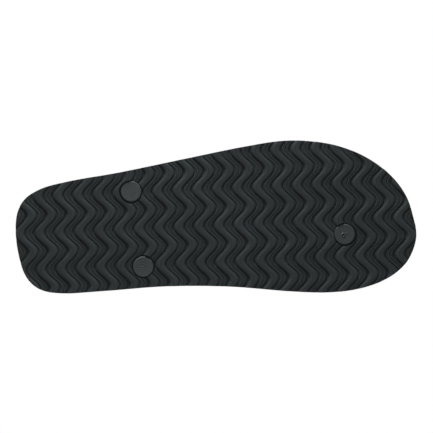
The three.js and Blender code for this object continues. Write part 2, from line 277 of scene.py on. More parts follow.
def sole_outline():
    """The midsole's own outline, as evenly spaced points on a smooth closed curve.

    The corners of its top face that lie clear of the holes are sorted by their angle round the middle. The
    points lie on a periodic curve of third degree through them. Each stretch of it starts and ends along the
    line between its neighbours.
    """
    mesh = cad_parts["midsole"].data
    points = np.zeros(len(mesh.vertices) * 3)
    mesh.vertices.foreach_get("co", points)
    points = points.reshape(-1, 3) / MM
    points = points[points[:, 2] > MIDSOLE_TOP - 0.1][:, :2]
    for hole in HOLES:
        points = points[np.linalg.norm(points - hole, axis=1) > 2 * HOLE_RADIUS]
    points = np.unique(np.round(points, 3), axis=0)
    points = points[np.argsort(np.arctan2(points[:, 1], points[:, 0]))]
    before, after = np.roll(points, 1, axis=0), np.roll(points, -1, axis=0)
    beyond = np.roll(points, -2, axis=0)
    t = np.linspace(0, 1, 12, endpoint=False)[None, :, None]
    start, end = (after - before)[:, None] / 2, (beyond - points)[:, None] / 2
    p, q = points[:, None], after[:, None]
    dense = (
        (2 * t**3 - 3 * t**2 + 1) * p + (t**3 - 2 * t**2 + t) * start
        + (3 * t**2 - 2 * t**3) * q + (t**3 - t**2) * end
    ).reshape(-1, 2)
    closed = np.vstack([dense, dense[:1]])
    along = distances(closed)
    even = np.linspace(0, along[-1], OUTLINE_POINTS, endpoint=False)
    return np.stack([np.interp(even, along, closed[:, axis]) for axis in (0, 1)], axis=-1)


OUTLINE = sole_outline()


def outline_ring(inset, z):
    """The outline moved inwards along its own normals, at one height."""
    tangent = np.roll(OUTLINE, -1, axis=0) - np.roll(OUTLINE, 1, axis=0)
    tangent /= np.linalg.norm(tangent, axis=1, keepdims=True)
    inner = np.stack([-tangent[:, 1], tangent[:, 0]], axis=-1)
    flat = OUTLINE + inset * inner
    return np.column_stack([flat, np.full(len(flat), float(z))])


def layer(name, profile):
    """A layer of the sole: a profile of (inset, height) pairs carried round the outline."""
    return closed_sweep(name, [outline_ring(inset, z) for inset, z in profile])


def hole_cutter(steps, wobble=0.0):
    """Round stepped tools for the strap holes. Each step is (radius, height). A wobble makes them uneven."""
    tools = []
    for number, hole in enumerate(HOLES):
        turn = np.arange(ROUND_POINTS) * 2 * math.pi / ROUND_POINTS
        uneven = wobble * (np.sin(turn + 2.2 * number + 2.6) + 0.35 * np.sin(3 * turn + number))
        rings = [circle(hole, radius + uneven, ROUND_POINTS, z) for radius, z in steps]
        tools.append(closed_sweep("hole_tool", rings))
    joined = tools[0]
    for tool in tools[1:]:
        joined = combine(joined, tool, "UNION")
    return joined


# ---- The tread -------------------------------------------


def tread_outsole():
    """The outsole: a height field whose rows follow the waves, cut to the outline and bored for the plugs.

    Along the sole a point lies at its row's distance plus the wave's swing there. Its height is the depth of
    the section's corner that its row stands for.
    """
    one = np.array(TREAD_SECTION)
    first = -math.ceil((FIRST_GROOVE + 2 * TREAD_SWING) / TREAD_PITCH) - 1
    last = math.ceil(SOLE_LENGTH / TREAD_PITCH) + 1
    shifts = FIRST_GROOVE + TREAD_PITCH * np.arange(first, last)
    rows = (one[None, :, 0] + shifts[:, None]).ravel()
    depth = np.tile(one[:, 1], len(shifts))
    step = TREAD_WAVE / WAVE_COLUMNS
    reach = math.ceil(SOLE_WIDTH / 2 / step) + 2
    across = WAVE_START + step * np.arange(-reach - 2, reach + 1)
    swing = TREAD_SWING / 2 * (1 - np.cos(2 * math.pi * (across - WAVE_START) / TREAD_WAVE))
    along = rows[:, None] + swing[None, :]
    x = np.broadcast_to(across[None, :], along.shape)
    y = HEEL_END - along
    low = np.stack([x, y, np.broadcast_to(depth[:, None], along.shape)], axis=-1)
    high = low.copy()
    high[..., 2] = OUTSOLE_TOP + 2
    points = np.vstack([low.reshape(-1, 3), high.reshape(-1, 3)])
    slab = outward(mesh_object("outsole_tread", points, shell_faces(*along.shape)))
    shape = layer("outline_tool", [(0, -1), (0, OUTSOLE_TOP - LIP), (LIP_INSET, OUTSOLE_TOP)])
    combine(slab, shape, "INTERSECT")
    recess = DISC_RADIUS + RECESS_GAP
    steps = [(recess, -1), (recess, RECESS_TOP), (HOLE_RADIUS, RECESS_TOP), (HOLE_RADIUS, 8)]
    combine(slab, hole_cutter(steps, RECESS_WOBBLE), "DIFFERENCE")
    return smooth(slab, TREAD_CREASE)


def foam_midsole():
    """The midsole: straight die-cut walls with a fine glue line where it meets the layers above and below."""
    low, high = OUTSOLE_TOP, MIDSOLE_TOP
    wall = [(LIP_INSET, low), (0, low + LIP), (0, high - LIP), (LIP_INSET, high)]
    piece = layer("midsole_foam", wall)
    bores = hole_cutter([(HOLE_RADIUS, OUTSOLE_TOP - 2), (HOLE_RADIUS, MIDSOLE_TOP + 2)])
    return smooth(combine(piece, bores, "DIFFERENCE"))


def foam_footbed():
    """The footbed: a soft top edge, a pressed line along the edge, and a dimpled mouth at each strap hole."""
    top, radius = FOOTBED_TOP, EDGE_RADIUS
    turn = np.linspace(0, math.pi / 2, 6)
    edge = [(radius * (1 - math.cos(a)), top - radius + radius * math.sin(a)) for a in turn]
    line = [(inset, top - depth) for inset, depth in PRESSED_LINE]
    piece = layer("footbed_foam", [(LIP_INSET, MIDSOLE_TOP), (0, MIDSOLE_TOP + LIP), *edge, *line])
    mouth = [(HOLE_RADIUS, MIDSOLE_TOP - 2), (HOLE_RADIUS, top - 1.2), (HOLE_RADIUS + 0.35, top - 0.5)]
    mouth += [(HOLE_RADIUS + 1.1, top - 0.08), (HOLE_RADIUS + 2.0, top + 0.2)]
    return smooth(combine(piece, hole_cutter(mouth), "DIFFERENCE"))


# ---- The strap plugs -------------------------------------


def hump(distance, width):
    """A smooth hump: 1 in its middle, and near 0 from twice its width on."""
    return np.exp(-((distance / width) ** 2))


def gate_mark(points, hole):
    """How far a plug's face stands out: a raised ring round a pit where the plastic went in, and a pip."""
    ring = np.linalg.norm(points[:, :2] - (hole + GATE_PLACE), axis=1)
    pip = np.linalg.norm(points[:, :2] - (hole + PIP_PLACE), axis=1)
    raised = hump(ring - GATE_RADIUS, GATE_RIM) - 1.3 * hump(ring, GATE_PIT)
    return GATE_HEIGHT * (raised + 0.8 * hump(pip, PIP_SIZE))


def turning_arcs(points, hole):
    """How far a plug's face stands out: faint rings about a place off its middle, fading with distance."""
    distance = np.linalg.norm(points[:, :2] - (hole + ARC_PLACE), axis=1)
    return ARC_HEIGHT * np.cos(distance * 2 * math.pi / ARC_PITCH) * hump(distance, ARC_FADE)


def strap_plug(name, hole, relief=None):
    """A plug: a profile of (radius, height) pairs turned about the hole's axis, with a dish in its face."""
    face, edge, stem = DISC_FACE, DISC_RADIUS, STEM_RADIUS
    top = face + DISC_THICKNESS
    rim = [
        (edge - 1.0, face), (edge - 0.5, face + 0.03), (edge - 0.2, face + 0.14),
        (edge - 0.05, face + 0.32), (edge, face + 0.6), (edge, top - 0.4), (edge - 0.3, top),
        (stem + 0.4, top), (stem, top + 0.4), (stem - 0.5, STEM_TOP - 0.5), (stem - 1.0, STEM_TOP),
        (FACE_MIDDLE, STEM_TOP),
    ]
    rings = []
    for radius in np.linspace(FACE_MIDDLE, edge - 1.3, FACE_RINGS):
        ring = circle(hole, radius, ROUND_POINTS, face + FACE_DISH * (1 - (radius / edge) ** 2))
        if relief:
            ring[:, 2] -= relief(ring, hole)
        rings.append(ring)
    rings += [circle(hole, radius, ROUND_POINTS, z) for radius, z in rim]
    return smooth(closed_sweep(name, rings), 40)


# ---- The strap -------------------------------------------


def unit(vectors):
    return vectors / np.maximum(np.linalg.norm(vectors, axis=-1, keepdims=True), 1e-12)


def smoothstep(value, low, high):
    t = np.clip((value - low) / (high - low), 0, 1)
    return t * t * (3 - 2 * t)


class Route:
    """The middle line of one side of the strap: a smooth curve, read at shares of the way from 0 to 1."""

    def __init__(self, hole, bulge):
        side = math.copysign(1, hole[0] - TOE_HOLE[0])
        points = [(*hole, STEM_TOP + 0.3), (*hole, FOOTBED_TOP)]
        for share, bulge_share, arch_share in ARM_ROUTE:
            x, y = hole + share * (TOE_HOLE - hole)
            points.append((x + side * bulge * bulge_share, y, FOOTBED_TOP + ARCH_HEIGHT * arch_share))
        points.append((*TOE_HOLE, FOOTBED_TOP + SADDLE_HEIGHT))
        points.append((TOE_HOLE[0], TOE_HOLE[1] - NOSE_LENGTH, FOOTBED_TOP + SADDLE_HEIGHT - 2))
        self.knots = np.array(points, float)
        shares = np.linspace(0, 1, 4001)
        line = self.at(shares)
        self.start = shares[np.argmax(line[:, 2] > FOOTBED_TOP + ARM_START_HEIGHT)]
        end_y = hole[1] + ARM_END_SHARE * (TOE_HOLE[1] - hole[1])
        self.end = shares[np.argmax((line[:, 2] > FOOTBED_TOP) & (line[:, 1] < end_y))]
        self.nose = shares[np.argmax(line[:, 1] < TOE_HOLE[1])]
        self.shares = shares
        self.run = distances(line)

    def at(self, t):
        """Points at shares of the way. Between two knots the curve is of third degree.

        It is a centripetal curve: the spacing of its knots is the root of the distance between them.
        """
        before = 2 * self.knots[0] - self.knots[1]
        beyond = 2 * self.knots[-1] - self.knots[-2]
        knots = np.vstack([before, self.knots, beyond])
        place = np.clip(np.asarray(t, float), 0, 1) * (len(self.knots) - 1)
        number = np.minimum(place.astype(int), len(self.knots) - 2)
        w = (place - number)[:, None]
        p0, p1, p2, p3 = (knots[number + i] for i in range(4))
        pairs = ((p0, p1), (p1, p2), (p2, p3))
        d0, d1, d2 = (np.linalg.norm(b - a, axis=1, keepdims=True) ** 0.5 for a, b in pairs)
        leave = ((p1 - p0) / d0 - (p2 - p0) / (d0 + d1) + (p2 - p1) / d1) * d1
        arrive = ((p2 - p1) / d1 - (p3 - p1) / (d1 + d2) + (p3 - p2) / d2) * d1
        square = 3 * (p2 - p1) - 2 * leave - arrive
        cube = 2 * (p1 - p2) + leave + arrive
        return p1 + leave * w + square * w**2 + cube * w**3

    def axes(self, t):
        """At each share: the point, the direction across the band, and the direction out of its outer face.

        The outer face points away from a line through the middle of the foot, square to the band's run.
        """
        t = np.asarray(t, float)
        point = self.at(t)
        ahead = unit(self.at(t + 1e-4) - self.at(t - 1e-4))
        share = np.clip((MEDIAL_HOLE[1] - point[:, 1]) / (MEDIAL_HOLE[1] - TOE_HOLE[1]), 0, 1)
        middle = (MEDIAL_HOLE[0] + LATERAL_HOLE[0]) / 2
        foot = middle + share * (TOE_HOLE[0] - middle)
        above = np.maximum(point[:, 2] - FOOTBED_TOP, 0)
        out = np.column_stack([point[:, 0] - foot, np.zeros(len(t)), above])
        out -= ahead * np.sum(out * ahead, axis=1, keepdims=True)
        out = unit(out)
        return point, np.cross(out, ahead), out

    def width(self, t):
        """The band's width: it widens from its low end, and then narrows to the saddle."""
        t = np.asarray(t, float)
        middle = self.start + ARM_WIDEST * (self.end - self.start)
        low, wide, end = ARM_WIDTH_LOW, ARM_WIDTH_MIDDLE, SADDLE_WIDTH
        rising = low + (wide - low) * smoothstep(t, self.start, middle)
        falling = wide + (end - wide) * smoothstep(t, middle, self.nose)
        return np.where(t < middle, rising, falling)

    def length_at(self, t):
        """The distance along the route, in millimetres, at shares of the way."""
        return np.interp(t, self.shares, self.run)

    def share_at(self, length):
        return np.interp(length, self.run, self.shares)


MEDIAL = Route(MEDIAL_HOLE, MEDIAL_BULGE)
LATERAL = Route(LATERAL_HOLE, LATERAL_BULGE)
STRAP_SIDES = (("medial", MEDIAL), ("lateral", LATERAL))

LOW_TIP = 6.5  # how far the arm's rounded low end reaches past the solids' cut
TUCK = 9.0  # how far the arm runs on under the saddle
ROUNDING = 9.0  # the length over which the arm's low end is rounded
STITCH_INSET = 2.3  # of the stitch row, from the arm's edge
STITCH_LENGTH = 2.9
STITCH_PITCH = 4.1
STITCH_THICK = 0.42
TAPE_HALF_WIDTH = 3.9
TAPE_HALF_THICKNESS = 0.95
TAPE_RINGS = 60
SOFT_CREASE = 50  # degrees: the strap's edges that are sharper stay crisp


def arm_span(route, steps):
    """Shares along an arm, closest at its ends, with its half width and the length run at each.

    Its low end is rounded.
    """
    low = route.length_at(route.start) - LOW_TIP
    high = route.length_at(route.end) + TUCK
    lengths = low + (high - low) * (1 - np.cos(np.linspace(0, math.pi, steps))) / 2
    t = route.share_at(lengths)
    tip = np.clip((lengths - low) / ROUNDING, 0.0004, 1)
    half = route.width(np.maximum(t, route.start)) / 2 * np.sqrt(1 - (1 - tip) ** 2)
    return t, half, lengths - low


def arm_depth(route, t):
    """How full the padding is along the arm: thin at the tape and under the saddle, and full between."""
    length = route.length_at(t)
    low, high = route.length_at(route.start), route.length_at(route.end)
    rise = smoothstep(length, low - LOW_TIP, low + 12)
    fall = 1 - smoothstep(length, high - 14, high - 1)
    return 0.22 + 0.78 * rise * fall


def crown(w, full):
    """The outer face across the arm, for w from -1 to 1: flat rims, and a padded crown between."""
    rim = 0.75 + 0.25 * np.sqrt(np.clip(1 - np.abs(w) ** 10, 0, 1))
    inside = np.clip(1 - (np.abs(w) / 0.8) ** 2, 0, 1)
    return 0.95 * rim + 1.95 * full * inside**0.62


def arm_points(route, t, half, w, depth):
    """Points of the arm from shares along it, and from -1 to 1 across, at a depth out of its middle."""
    point, across, out = route.axes(t)
    sideways = across[:, None] * (half[:, None] * w)[..., None]
    return point[:, None] + sideways + out[:, None] * depth[..., None]


def arm_shell(name, route, outer, inner, reach, steps=150, across=25):
    """A closed shell along an arm, from an outer and an inner depth, each worked out from (w, fullness)."""
    t, half, length = arm_span(route, steps)
    full = arm_depth(route, t)[:, None]
    w = np.sin(np.linspace(-math.pi / 2, math.pi / 2, across))[None, :]
    back = w[:, ::-1]
    sizes = (steps, across)
    top = arm_points(route, t, half * reach, np.broadcast_to(w, sizes), outer(w, full))
    bottom = arm_points(route, t, half * reach, np.broadcast_to(back, sizes), inner(back, full))
    rings = np.concatenate([top, bottom], axis=1)
    side = np.concatenate([w, back], axis=1)
    uv = np.stack([np.broadcast_to(length[:, None], (steps, 2 * across)), half[:, None] * side], axis=-1)
    return smooth(closed_sweep(name, rings, uv.reshape(-1, 2)), SOFT_CREASE)


def arm_upper(name, route):
    """The upper: a crowned skin about a millimetre thick, whose rims turn down over the padding's edge."""
    return arm_shell(
        name, route,
        lambda w, full: crown(w, full) - 1.1 * np.abs(w) ** 14,
        lambda w, full: 0.12 + (crown(w, full) - 1.0) * (np.abs(w) < 0.9),
        1.0,
    )


def arm_padding(name, route):
    """The padding: a crowned strip of foam inside the upper, a little narrower than it."""
    reach = 0.9

    def outer(w, full):
        rim = np.abs(w) ** 8
        return np.maximum(crown(w * reach, full) - 1.15, -0.55) * (1 - rim) - 0.2 * rim

    return arm_shell(name, route, outer, lambda w, full: -0.75 + 0.3 * np.abs(w) ** 4 + 0 * full, reach)


def arm_lining(name, route):
    """The lining: a thin skin on the side of the foot, softly bowed over the padding."""
    return arm_shell(
        name, route,
        lambda w, full: -0.85 + 0.75 * np.abs(w) ** 6 + 0 * full,
        lambda w, full: -1.75 - 0.35 * full * (1 - w**2) + 1.25 * np.abs(w) ** 10,
        0.975,
    )


def stitch_shape():
    """One stitch about its own middle: a slim bead along x whose ends dip into the material."""
    rings, around = 7, 6
    along = np.linspace(-1, 1, rings)
    turn = np.arange(around) * math.pi / 3
    thick = STITCH_THICK * np.sqrt(np.clip(1.02 - along**2 * 0.9, 0.05, 1))
    x = np.broadcast_to((along * STITCH_LENGTH / 2)[:, None], (rings, around))
    y = thick[:, None] * np.cos(turn)[None]
    z = thick[:, None] * 0.75 * np.sin(turn)[None] + (0.12 - 0.45 * along**4)[:, None]
    faces = grid_faces(rings, around, wrap_columns=True).tolist()
    faces.append(list(range(around))[::-1])
    faces.append(list(range((rings - 1) * around, rings * around)))
    return np.stack([x, y, z], axis=-1).reshape(-1, 3), faces


def stitches(name, point, ahead, out):
    """A row of stitches: the one stitch, placed at each point along its direction, on the face it lies on."""
    shape, faces = stitch_shape()
    side = np.cross(out, ahead)
    placed = (
        point[:, None] + ahead[:, None] * shape[None, :, :1]
        + side[:, None] * shape[None, :, 1:2] + out[:, None] * shape[None, :, 2:]
    )
    everything = []
    for number in range(len(point)):
        everything += [[index + number * len(shape) for index in face] for face in faces]
    return smooth(outward(mesh_object(name, placed.reshape(-1, 3), everything)), 60)


def on_stitch_row(route, sign, length):
    """Points of one of an arm's stitch rows at distances along the route, and the direction out there."""
    t = route.share_at(length)
    _, half, span = arm_span(route, 400)
    half_here = np.interp(length - (route.length_at(route.start) - LOW_TIP), span, half)
    w = sign * (1 - STITCH_INSET / half_here)
    full = arm_depth(route, t)
    point, across, out = route.axes(t)
    return point + across * (half_here * w)[:, None] + out * crown(w, full)[:, None], out


def arm_stitching(name, route):
    """Two rows of stitches along an arm, a fixed distance in from each edge."""
    low = route.length_at(route.start) - LOW_TIP + 5.5
    high = route.length_at(route.end) - 0.5
    count = int((high - low) / STITCH_PITCH)
    lengths = low + (high - low) * (np.arange(count) + 0.5) / count
    rows = []
    for sign in (-1, 1):
        middle, out = on_stitch_row(route, sign, lengths)
        after, before = (on_stitch_row(route, sign, lengths + shift)[0] for shift in (0.4, -0.4))
        ahead = unit(after - before)
        out = unit(out - ahead * np.sum(out * ahead, axis=1, keepdims=True))
        rows.append((middle, ahead, out))
    return stitches(name, *(np.concatenate(part) for part in zip(*rows)))


def ribbon(name, point, across, out, half_width, half_thick, length):
    """A woven tape: a flat section with round, slightly thicker selvedges, carried along a line."""
    around = 32
    turn = np.linspace(0, 2 * math.pi, around + 1)[:-1]
    wide = np.sign(np.cos(turn)) * np.abs(np.cos(turn)) ** 0.35
    thick = np.sign(np.sin(turn)) * np.abs(np.sin(turn)) ** 0.55 * (0.86 + 0.14 * np.abs(wide) ** 6)
    rings = (
        point[:, None] + across[:, None] * (half_width * wide)[None, :, None]
        + out[:, None] * (half_thick * thick)[None, :, None]
    )
    uv = np.stack([
        np.broadcast_to(length[:, None], (len(point), around)),
        np.broadcast_to((half_width * wide)[None], (len(point), around)),
    ], axis=-1)
    return smooth(closed_sweep(name, rings, uv.reshape(-1, 2)), SOFT_CREASE)


def strap_tape(name, route):
    """The tape from a plug's stem, up its hole and into the low end of its arm."""
    t = np.linspace(0.0, route.share_at(route.length_at(route.start) - 0.8), TAPE_RINGS)
    point, across, out = route.axes(t)
    return ribbon(name, point, across, out, TAPE_HALF_WIDTH, TAPE_HALF_THICKNESS, route.length_at(t))


def toe_post(name):
    """The toe post: a folded tape that stands in the toe hole, a little fuller where it enters the saddle."""
    low, high = node_box("toe_post")
    z = np.linspace(low[2], FOOTBED_TOP + SADDLE_HEIGHT - 0.5, TAPE_RINGS)
    swell = 1 + 0.1 * smoothstep(z, high[2] - 6, high[2])
    point = np.column_stack([np.tile(TOE_HOLE, (TAPE_RINGS, 1)), z])
    across = swell[:, None] * [0.0, 1.0, 0.0]
    out = swell[:, None] * [1.0, 0.0, 0.0]
    return ribbon(name, point, across, out, (high[1] - low[1]) / 2, (high[0] - low[0]) / 2, z)


# ---- The saddle ------------------------------------------

SADDLE_MARGIN = 0.9
SADDLE_BACK = 3.0  # how far the saddle's sides reach back over the arms
CROTCH_DIP = 7.0
SADDLE_ROWS = 72
SADDLE_COLUMNS = 61
CAP_TOP = (1.9, 1.55)  # depths out of the saddle's middle: where the arms are inside it, and in its nose
CAP_INNER = (0.8, 0.3)
UNDERSIDE_INNER = (-1.95, -0.3)
UNDERSIDE_BOTTOM = (-2.85, -1.3)


def saddle_grid():
    """Shares (a, b) of the saddle's plan: a from 0 at its back to 1 at its nose, b from -1 to 1 across."""
    a = (np.linspace(0, 1, SADDLE_ROWS) ** 0.85)[:, None]
    b = np.sin(np.linspace(-math.pi / 2, math.pi / 2, SADDLE_COLUMNS))[None, :]
    return np.broadcast_arrays(a, b)


def saddle_middle(bowed):
    """Over its grid: the saddle's middle surface, the direction out, and 1 where it is ahead of the arms.

    Each point comes from three: the outer edge of either arm's route, and the middle of the two inner edges.
    Between them a bowed surface follows a parabola, and the other follows both arms' straight sections. The
    back edge dips towards the toes between the arms, and the nose is half an ellipse.
    """
    a, b = saddle_grid()
    edges, outs, inners, ends = [], [], [], []
    for route, sign in ((LATERAL, -1), (MEDIAL, 1)):
        back = route.length_at(route.end) - SADDLE_BACK + CROTCH_DIP * (1 - b**2) ** 1.3
        length = back + (route.run[-1] - back) * a
        t = route.share_at(length.ravel())
        point, across, out = route.axes(t)
        past = np.clip((t - route.nose) / (1 - route.nose), 0, 0.9995)
        half = (route.width(t) / 2 + SADDLE_MARGIN) * np.sqrt(1 - past**2)
        edges.append((point + across * (sign * half)[:, None]).reshape(*a.shape, 3))
        inners.append((point - across * (sign * half)[:, None]).reshape(*a.shape, 3))
        outs.append(out.reshape(*a.shape, 3))
        tucked = route.length_at(route.end) + TUCK
        ends.append(smoothstep(length, tucked - 2, tucked + 6))
    middle = (inners[0] + inners[1]) / 2
    b = b[..., None]
    if bowed:
        surface = edges[0] * (b**2 - b) / 2 + middle * (1 - b**2) + edges[1] * (b**2 + b) / 2
    else:
        reach = np.sqrt(b**2 + 0.015) / math.sqrt(1.015)
        surface = middle * (1 - reach) + np.where(b < 0, edges[0], edges[1]) * reach
    out = unit(outs[0] * (1 - b) / 2 + outs[1] * (1 + b) / 2)
    return surface, out, (ends[0] + ends[1]) / 2


def saddle_layer(bowed, depths, rim_depth, back_change):
    """One face of the saddle: its depths are those over the arms and in the nose, changed at its rims."""
    a, b = saddle_grid()
    surface, out, nose = saddle_middle(bowed)
    depth = depths[0] + (depths[1] - depths[0]) * nose
    rim = np.maximum(np.abs(b) ** 14, a**60)
    depth = depth + (rim_depth - depth) * rim + back_change * (1 - a) ** 40
    return surface + out * depth[..., None]


def saddle_shell(name, high, low):
    """A closed shell between two faces of the saddle, with walls round its edge."""
    points = np.vstack([high.reshape(-1, 3), low.reshape(-1, 3)])
    uv = np.concatenate([high[..., 1::-1].reshape(-1, 2)] * 2)
    piece = mesh_object(name, points, shell_faces(*high.shape[:2]), uv)
    return smooth(outward(piece), SOFT_CREASE)


def saddle_cap(name):
    """The cap over the arms' ends: its rims turn down, and its back edge lies on the arms."""
    top = saddle_layer(True, CAP_TOP, 0.85, -0.45)
    return saddle_shell(name, top, saddle_layer(True, CAP_INNER, 0.02, -0.3))


def saddle_underside(name):
    """The lining under the arms' ends. Its rims turn up to meet the cap."""
    top = saddle_layer(False, UNDERSIDE_INNER, -0.02, 0.4)
    return saddle_shell(name, top, saddle_layer(False, UNDERSIDE_BOTTOM, -0.75, 0.5))


def saddle_stitching(name):
    """Two rows of stitches on the cap: along its sides and round its nose, and along its back edge."""
    surface, out, nose = saddle_middle(True)
    surface = surface + out * (CAP_TOP[0] + (CAP_TOP[1] - CAP_TOP[0]) * nose)[..., None]
    normal = unit(np.cross(np.gradient(surface, axis=0), np.gradient(surface, axis=1)))
    normal *= np.sign(normal[..., 2:])
    centre = surface.reshape(-1, 3).mean(axis=0)
    sides = np.concatenate([surface[4:-1, 0], surface[-1, 1:-1], surface[4:-1, -1][::-1]])
    back = surface[0, 9:-9]
    rows = []
    for edge, pitch in ((sides, STITCH_PITCH * 0.86), (back, STITCH_PITCH * 0.8)):
        tangent = unit(np.gradient(edge, axis=0))
        inward = np.cross(tangent, [0.0, 0.0, 1.0])
        inward *= np.sign(np.sum(inward * (centre - edge), axis=1, keepdims=True))
        line = edge + unit(inward) * STITCH_INSET
        run = distances(line)
        lengths = np.arange(1.5, run[-1] - 1.5, pitch)
        middle, before, after = (points_along(line, run, lengths + shift) for shift in (0, -0.5, 0.5))
        middle[:, 2] = near_values(middle, surface, surface[..., 2:])[:, 0]
        lie = near_values(middle, surface, normal)
        ahead = unit(after - before)
        ahead = unit(ahead - lie * np.sum(lie * ahead, axis=1, keepdims=True))
        rows.append((middle, ahead, unit(lie)))
    return stitches(name, *(np.concatenate(part) for part in zip(*rows)))


def points_along(line, run, lengths):
    """Points at distances along a line whose corners lie at the distances in run."""
    return np.stack([np.interp(lengths, run, line[:, axis]) for axis in range(3)], axis=-1)


def near_values(points, surface, values):
    """The mean of a grid's values at the four corners nearest to each point in plan, weighted by nearness."""
    flat = surface.reshape(-1, 3)
    gap = np.linalg.norm(flat[None, :, :2] - points[:, None, :2], axis=-1)
    near = np.argsort(gap, axis=1)[:, :4]
    weight = 1 / (np.take_along_axis(gap, near, axis=1) + 0.05)
    weight /= weight.sum(axis=1, keepdims=True)
    return np.sum(values.reshape(-1, values.shape[-1])[near] * weight[..., None], axis=1)


# ---- Materials -------------------------------------------


class Value:
    """A number that a shader works out. Adding, multiplying and so on adds the Math node that does it."""

    def __init__(self, finish, socket):
        self.finish = finish
        self.socket = socket

    def math(self, operation, *others, swap=False):
        values = [self, *others]
        if swap:
            values.reverse()
        return self.finish.node("Math", {"operation": operation}, dict(enumerate(values)))

    def __add__(self, other):
        return self.math("ADD", other)

    __radd__ = __add__

    def __sub__(self, other):
        return self.math("SUBTRACT", other)

    def __rsub__(self, other):
        return self.math("SUBTRACT", other, swap=True)

    def __mul__(self, other):
        return self.math("MULTIPLY", other)

    __rmul__ = __mul__

    def __abs__(self):
        return self.math("ABSOLUTE")

    def sine(self):
        return self.math("SINE")

    def step(self, low, high, to_low=0.0, to_high=1.0):
        """Runs smoothly from one value to another as this number goes from low to high."""
        settings = {"interpolation_type": "SMOOTHSTEP"}
        return self.finish.node("MapRange", settings, {0: self, 1: low, 2: high, 3: to_low, 4: to_high})


class Finish:
    """A material being made: one Principled shader, and the nodes that vary it over the surface."""

    def __init__(self, name, colour, roughness, specular=0.5, sheen=0.0, sheen_roughness=0.5):
        self.material = bpy.data.materials.new(name)
        self.material.use_nodes = True
        self.tree = self.material.node_tree
        self.shader = self.tree.nodes["Principled BSDF"]
        self.shader.inputs["Base Color"].default_value = (*colour, 1)
        self.shader.inputs["Roughness"].default_value = roughness
        self.shader.inputs["Specular IOR Level"].default_value = specular
        self.shader.inputs["Sheen Weight"].default_value = sheen
        self.shader.inputs["Sheen Roughness"].default_value = sheen_roughness

    def node(self, kind, settings=None, inputs=None, output=0):
        """Adds a node: its settings first, then the values or links of its sockets. Gives back one output."""
        made = self.tree.nodes.new("ShaderNode" + kind)
        for key, value in (settings or {}).items():
            setattr(made, key, value)
        for key, value in (inputs or {}).items():
            if isinstance(value, Value):
                self.tree.links.new(value.socket, made.inputs[key])
            else:
                made.inputs[key].default_value = value
        return Value(self, made.outputs[output])

    def place(self):
        """The point's place on the object, in metres."""
        return self.node("TexCoord", output="Object")

    def unwrapped(self):
        """The piece's own map, in millimetres along and across it."""
        return self.node("UVMap", {"uv_map": "UVMap"})

    def parts(self, vector):
        return [self.node("SeparateXYZ", inputs={0: vector}, output=axis) for axis in range(3)]

    def noise(self, vector, scale, detail, rough):
        inputs = {"Vector": vector, "Scale": scale, "Detail": detail, "Roughness": rough}
        return self.node("TexNoise", inputs=inputs, output="Fac")

    def cells(self, vector, scale):
        """The distance to the nearest of many scattered places."""
        return self.node("TexVoronoi", inputs={"Vector": vector, "Scale": scale}, output="Distance")

    def stretched(self, vector, scale):
        return self.node("Mapping", inputs={"Vector": vector, "Scale": scale})

    def shades(self, amount, low, high):
        """The base colour, from one colour to another as an amount goes from 0 to 1."""
        mixed = self.node("Mix", {"data_type": "RGBA"}, {0: amount, 6: (*low, 1), 7: (*high, 1)}, output=2)
        self.tree.links.new(mixed.socket, self.shader.inputs["Base Color"])

    def roughness(self, amount):
        self.tree.links.new(amount.socket, self.shader.inputs["Roughness"])

    def bump(self, height, distance, strength=1.0, under=None):
        """Raises the surface by a height from 0 to 1, times a distance in metres."""
        inputs = {"Height": height, "Distance": distance, "Strength": strength}
        if under is not None:
            inputs["Normal"] = under
        raised = self.node("Bump", inputs=inputs)
        self.tree.links.new(raised.socket, self.shader.inputs["Normal"])
        return raised


def tread_rubber():
    """Moulded foam rubber: near black, with painted shade that darkens it the deeper it lies in the grooves,
    so its lands are lighter; a fine grain and faint patches.
    """
    finish = Finish("tread rubber", (0.02, 0.024, 0.025), 0.6, specular=0.3)
    place = finish.place()
    height = finish.parts(place)[2]
    # Painted shade: the colour is lighter on the lands at the ground and darker the deeper into the grooves.
    # The same mask makes the lands a little smoother.
    land_and_painted_groove_shade = height.step(0.0002, 0.0011, 1.0, 0.0)
    patches = finish.noise(place, 26, 4, 0.6).step(0.35, 0.7)
    grain = finish.noise(place, 1500, 3, 0.6)
    amount = land_and_painted_groove_shade * 0.4 + patches * 0.3 + grain * 0.25
    finish.shades(amount, (0.0074, 0.0108, 0.0122), (0.0215, 0.0288, 0.0312))
    finish.roughness(0.52 - land_and_painted_groove_shade * 0.08 + patches * 0.12)
    fine = finish.bump(grain, 0.00009, 0.9)
    finish.bump(finish.cells(place, 900), 0.00004, 0.5, under=fine)
    return finish.material


def cut_foam(name, dark, light):
    """Die-cut foam: closed cells, faint saw lines round the wall, and a slight cloudiness."""
    finish = Finish(name, dark, 0.78, specular=0.25)
    place = finish.place()
    lines = finish.noise(finish.stretched(place, (60, 60, 900)), 1, 3, 0.6)
    cells = finish.cells(place, 1700)
    cloud = finish.noise(place, 40, 3, 0.5)
    finish.shades(lines * 0.35 + cloud * 0.5, dark, light)
    finish.roughness(0.72 + lines * 0.16)
    finish.bump(lines * 0.6 + cells * 0.5, 0.00009, 0.8)
    return finish.material


